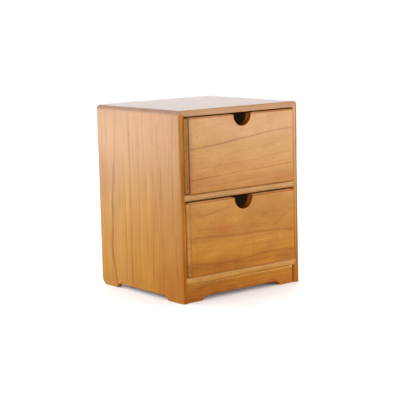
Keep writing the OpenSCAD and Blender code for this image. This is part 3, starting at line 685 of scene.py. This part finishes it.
m_lower = wood("wood_lower_front", "X", "Z", "Y", 149.0, FRONT_LIGHT, FRONT_DARK, LOWER_END_GRAIN_AND_LIGHT, rings=(9.0, 60.0, 0.2), tone=0.35, grain=0.5, fibre=0.9, flecks=0.8, coat=0.16, cloud=2.2, dash=2.0,
               paint=lower_grain_and_painted_light)
BOX_LIGHT, BOX_DARK = (0.52, 0.32, 0.14), (0.41, 0.225, 0.080)
m_box_side = wood("wood_drawer_side", "Y", "Z", "X", 167.0, BOX_LIGHT, BOX_DARK, END, coat=0.25, coat_rough=0.4, rough=0.55)
m_box_back = wood("wood_drawer_back", "X", "Z", "Y", 181.0, BOX_LIGHT, BOX_DARK, END, coat=0.25, coat_rough=0.4, rough=0.55)
m_ply = wood("plywood_drawer_bottom", "X", "Y", "Z", 193.0, (0.54, 0.34, 0.155), (0.43, 0.245, 0.092), END, coat=0.1, coat_rough=0.5, rough=0.6)
m_back = wood("plywood_back", "Z", "X", "Y", 211.0, (0.40, 0.215, 0.062), (0.30, 0.135, 0.028), END, grain=1.2, coat=0.12, coat_rough=0.45, rough=0.6)
m_dowel_v = wood("wood_dowel", "Z", "X", "Y", 223.0, (0.70, 0.52, 0.30), (0.60, 0.40, 0.20), END, coat=0.0, rough=0.6)
m_dowel_y = wood("wood_dowel_drawer", "Y", "X", "Z", 229.0, (0.70, 0.52, 0.30), (0.60, 0.40, 0.20), END, coat=0.0, rough=0.6)
m_brad = steel("brad_wire", 5.0)


# ------------------------------------------------------------------ cabinet

lo_s, hi_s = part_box("left_side_panel")
YF, YR, ZT = lo_s.y, hi_s.y, hi_s.z          # front and rear edges, top of the side panels
XL, XI = lo_s.x, hi_s.x                      # outer and inner face of the left side panel
lo_t, hi_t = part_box("top_panel")
TOP, RAIL = hi_t.z, lo_t.z
Y_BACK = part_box("back_panel")[0].y
CUT, CUT_R = 6 * MM, 10 * MM


def cutout(a0, a1):
    """The lower edge between a0 and a1, raised by CUT, with curved ends."""
    w = math.sqrt(2 * CUT_R * CUT - CUT * CUT)
    a = math.degrees(math.atan2(CUT_R - CUT, w))
    return arc(a0 + w, CUT - CUT_R, CUT_R, 180 - a, 90, 8) + arc(a1 - w, CUT - CUT_R, CUT_R, 90, a, 8)


def side_panel(name, sx, material):
    outline = [Vector((YF, 0.0))] + cutout(YF + 32 * MM, YR - 34 * MM)
    outline += fillet([(YR, 0.0, 11 * MM), (YR, ZT, 0), (YF, ZT, 0), (YF, 0.0, 0)], 10)[:-3]
    outline += [Vector((YR, ZT)), Vector((YF, ZT))]
    # the rounding of the inner front edge runs out under the top panel
    outline += [Vector((YF, RAIL - x * MM)) for x in (0.0, 0.5, 1.1, 1.8, 2.6)]

    def outer(m, n):
        if abs(m.x - YF) < 1e-6:
            return 2.9 * MM
        if m.x > YR - 1e-6:
            return 1.2 * MM
        return 0.3 * MM if m.y > ZT - 1e-6 else 0.5 * MM

    def inner(m, n):
        if abs(m.x - YF) < 1e-6:
            below = (RAIL - m.y) / MM
            return (0.05 if below < 0 else min(3.0, 0.3 + 2.7 * math.sqrt(min(1.0, below / 2.4)))) * MM
        return 0.5 * MM
    return plate(name, outline, sx * -XL, sx * -XI, lambda p, d: (d, p.x, p.y), outer, inner, material, "cabinet",
                 ["left_side_panel" if sx < 0 else "right_side_panel"])


side_panel("side_panel_left", -1, m_left)
side_panel("side_panel_right", 1, m_right)


def top_outline(z_tongue):
    R = 5.5 * MM
    return fillet([(XL, ZT, 0), (XI, ZT, 0), (XI, z_tongue, 0), (-XI, z_tongue, 0), (-XI, ZT, 0), (-XL, ZT, 0), (-XL, TOP, R), (XL, TOP, R)], 10)


def top_board():
    front, back = top_outline(RAIL), top_outline(ZT - 0.01 * MM)
    to3 = lambda p, d: (p.x, d, p.y)

    def radius(side, edge):
        def r(m, n):
            if m.y < ZT + 1e-6:                    # lower edges: the rail's is eased, those on the side panels are not
                return 0.5 * MM if abs(m.y - RAIL) < 1e-6 else 0.0
            k = abs(n.x) ** 2
            return (side * k + edge * (1 - k)) * MM
        return r
    rf, rr = radius(2.9, 0.8), radius(1.2, 0.8)
    rings = [[to3(p, YF + x) for p in inset(front, rf, x)] for x in depths([2.9 * MM, 0.8 * MM])]
    rings.append([to3(p, Y_BACK) for p in front])
    rings.append([to3(p, Y_BACK) for p in back])
    rings += [[to3(p, YR - x) for p in inset(back, rr, x)] for x in reversed(depths([1.2 * MM, 0.8 * MM]))]
    return loft("top_board", rings, m_top, "cabinet", ["top_panel"])


top_board()


def housed(name, node, material):
    lo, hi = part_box(node)
    outline = fillet([(lo.y, lo.z, 1.5 * MM), (hi.y, lo.z, 0), (hi.y, hi.z, 0), (lo.y, hi.z, 2.6 * MM)], 8)
    same = lambda m, n: 0.2 * MM
    return plate(name, outline, lo.x, hi.x, lambda p, d: (d, p.x, p.y), same, same, material, "cabinet", [node])


housed("shelf_board", "middle_shelf", m_shelf)
housed("bottom_board", "bottom_panel", m_bottom)


def plinth():
    lo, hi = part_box("front_plinth")
    outline = [Vector((lo.x, 0.0))] + cutout(XL + 33 * MM, -XL - 33 * MM)
    outline += [Vector((hi.x, 0.0)), Vector((hi.x, hi.z)), Vector((lo.x, hi.z))]

    def face(m, n):
        return 2.2 * MM if m.y > hi.z - 1e-6 else 0.5 * MM
    return plate("plinth_board", outline, lo.y, hi.y, lambda p, d: (p.x, d, p.y), face, lambda m, n: 0.4 * MM, m_plinth,
                 "cabinet", ["front_plinth"])


plinth()

lo_b, hi_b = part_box("back_panel")
board("back_board", lo_b, hi_b, 1, 0.25 * MM, m_back, "cabinet", ["back_panel"])


# ------------------------------------------------------------------ brads

def brads(name, node, body, places):
    """Wire brads driven flush: a low domed head and a shank. places: (point on the surface, direction driven, length)."""
    bm = bmesh.new()
    profile = [(0.0, -0.12), (0.45, -0.11), (0.9, -0.06), (1.15, 0.02), (1.2, 0.15), (1.05, 0.4), (0.6, 0.6)]
    for point, way, length in places:
        q = Vector((0, 0, 1)).rotation_difference(Vector(way))
        rings = []
        for r, z in profile[1:] + [(0.6, length - 0.8), (0.15, length)]:
            rings.append([bm.verts.new(Vector(point) + q @ Vector((r * math.cos(t * math.pi / 8), r * math.sin(t * math.pi / 8), z)) * MM) for t in range(16)])
        for a, b in zip(rings, rings[1:]):
            for i in range(16):
                bm.faces.new((a[i], a[(i + 1) % 16], b[(i + 1) % 16], b[i]))
        tip = bm.verts.new(Vector(point) + q @ Vector((0, 0, profile[0][1])) * MM)
        for i in range(16):
            bm.faces.new((rings[0][(i + 1) % 16], rings[0][i], tip))
        bm.faces.new(rings[-1])
    bmesh.ops.recalc_face_normals(bm, faces=bm.faces)
    return finish_mesh(name, bm, m_brad, body, [node], weighted=False)


z_shelf = (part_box("middle_shelf")[0].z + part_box("middle_shelf")[1].z) / 2
z_bottom = (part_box("bottom_panel")[0].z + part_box("bottom_panel")[1].z) / 2
places = [((s * 93 * MM, hi_b.y, z * MM), (0, -1, 0), 11) for s in (-1, 1) for z in (60, 132, 205)]
places += [((x * MM, hi_b.y, z), (0, -1, 0), 14) for x in (-45, 45) for z in (z_shelf, z_bottom)]
brads("back_brads", "back_panel_brads", "cabinet", places)

for node, material in {"top_dowels": m_dowel_v, "plinth_dowels": m_dowel_v,
                       "upper_drawer_dowels": m_dowel_y, "lower_drawer_dowels": m_dowel_y}.items():
    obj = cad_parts[node]
    obj.data.materials.clear()
    obj.data.materials.append(material)


# ------------------------------------------------------------------ drawers

def drawer(which, notch, m_front):
    pre = which + "_drawer_"
    body = which + "_drawer"
    lo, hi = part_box(pre + "front")
    cx, top = (lo.x + hi.x) / 2, hi.z
    r = 1.4 * MM
    drop = 1.2 * MM                    # the notch's centre lies this far below the top edge
    pts = fillet([(cx - notch - 3 * MM, top, 0), (lo.x, top, 1.6 * MM), (lo.x, lo.z, 1.6 * MM),
                  (hi.x, lo.z, 1.6 * MM), (hi.x, top, 1.6 * MM), (cx + notch + 3 * MM, top, 0)], 4)
    e = 0.8 * MM                       # small rounding where the notch meets the top edge
    c = math.sqrt((notch + e) ** 2 - (e - drop) ** 2)
    a = math.degrees(math.atan2(e - drop, c))
    pts += arc(cx + c, top - e, e, 90, 180 - a, 4)
    pts += arc(cx, top - drop, notch, -a, -180 + a, 40)
    pts += arc(cx - c, top - e, e, a, 90, 4)

    def face(m, n):
        near = (m - Vector((cx, top - drop))).length
        return 0.7 * MM if near < notch + 1.6 * MM else r
    plate(which + "_front_board", pts, lo.y, hi.y, lambda p, d: (p.x, d, p.y), face, lambda m, n: 0.6 * MM, m_front,
          body, [pre + "front"])

    for s in ("left", "right"):
        a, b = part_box(pre + s + "_side")
        board(f"{which}_{s}_side_board", a, b, 0, 0.7 * MM, m_box_side, body, [pre + s + "_side"])
    a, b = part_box(pre + "back")
    board(which + "_back_board", a, b, 1, 0.6 * MM, m_box_back, body, [pre + "back"])
    a2, b2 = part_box(pre + "bottom")
    board(which + "_bottom_board", a2, b2, 2, 0.25 * MM, m_ply, body, [pre + "bottom"])

    places = []
    for s in (-1, 1):
        for z in ((hi.z - lo.z - 8 * MM) * k for k in (0.25, 0.75)):
            places.append(((cx + s * (hi.x - lo.x) / 2, b.y - 3 * MM, lo.z + z), (-s, 0, 0), 15))
        places.append(((cx + s * (hi.x - lo.x) / 4, b.y - 3 * MM, a2.z), (0, 0, 1), 11))
    brads(which + "_brads", pre + "brads", body, places)


drawer("upper", 14.3 * MM, m_upper)
drawer("lower", 14.8 * MM, m_lower)


# ------------------------------------------------------------------ floor, light, camera

def floor():
    t = Tree("studio_floor")
    coord = t.add("ShaderNodeTexCoord")
    tone = t.noise(coord.outputs["Object"], 0.6, 2.0, 0.5, 3.0)
    bsdf = t.add("ShaderNodeBsdfPrincipled")
    t.put(bsdf.inputs["Base Color"], t.mix(tone, (0.915, 0.925, 0.94), (0.93, 0.94, 0.955)))
    bsdf.inputs["Roughness"].default_value = 0.8
    bsdf.inputs["Specular IOR Level"].default_value = 0.1
    out = t.add("ShaderNodeOutputMaterial")
    t.t.links.new(bsdf.outputs[0], out.inputs[0])
    mesh = bpy.data.meshes.new("studio_floor")
    s = 60.0
    mesh.from_pydata([(-s, -s, 0), (s, -s, 0), (s, s, 0), (-s, s, 0)], [], [(0, 1, 2, 3)])
    mesh.materials.append(t.mat)
    obj = bpy.data.objects.new("studio_floor", mesh)
    scene.collection.objects.link(obj)


floor()


def area(name, place, target, size, watts, color=(1, 1, 1)):
    light = bpy.data.lights.new(name, "AREA")
    light.shape = "RECTANGLE"
    light.size, light.size_y = size
    light.energy = watts
    light.color = color
    obj = bpy.data.objects.new(name, light)
    obj.location = place
    obj.rotation_mode = "QUATERNION"
    obj.rotation_quaternion = (Vector(target) - Vector(place)).to_track_quat("-Z", "Y")
    scene.collection.objects.link(obj)
    obj.visible_camera = False
    return obj


area("rear_panel", (0.95, 1.2, 0.75), (0, 0, 0.2), (1.6, 0.6), 12.0, (0.68, 0.84, 1.0))
area("left_panel", (-1.4, 0.1, 0.6), (0, 0, 0.12), (0.9, 0.9), 3.5)
area("camera_side_panel", (-1.10, -1.38, 0.50), (0, 0, 0.12), (0.7, 0.5), 8.3)
# low strips beside the table, which the lacquer mirrors: stronger towards the top
for side, dx, dy, strips in (("left", -0.62, 0.78, ((0.05, 0.10, 0.40), (0.10, 0.15, 0.77), (0.15, 0.21, 0.97), (0.21, 0.30, 1.08))),
                             ("right", 0.62, -0.78, ((0.10, 0.15, 1.15), (0.15, 0.21, 1.14)))):
    for k, (z0, z1, watts) in enumerate(strips):
        zc = (z0 + z1) / 2 + 0.002
        area(f"{side}_strip_{k}", (dx * 0.8, dy * 0.8, zc), (0, 0, zc), (0.30, z1 - z0 - 0.002), watts)

world = bpy.data.worlds.new("studio")
scene.world = world
world.use_nodes = True
background = world.node_tree.nodes["Background"]
background.inputs["Color"].default_value = (1.0, 1.0, 1.0, 1.0)
background.inputs["Strength"].default_value = 1.105

cam_data = bpy.data.cameras.new("camera")
cam_data.sensor_width = 36.0
cam_data.lens = 116.1645
cam_data.clip_start, cam_data.clip_end = 0.05, 200.0
cam = bpy.data.objects.new("camera", cam_data)
cam.location = (-1.06671, -1.34335, 0.37084)
cam.rotation_mode = "QUATERNION"
cam.rotation_quaternion = Quaternion((0.712399, 0.618664, -0.207434, -0.25829))
scene.collection.objects.link(cam)
scene.camera = cam

scene.view_settings.view_transform = "Standard"
scene.view_settings.look = "None"
scene.view_settings.exposure = 0.0
scene.view_settings.gamma = 1.0
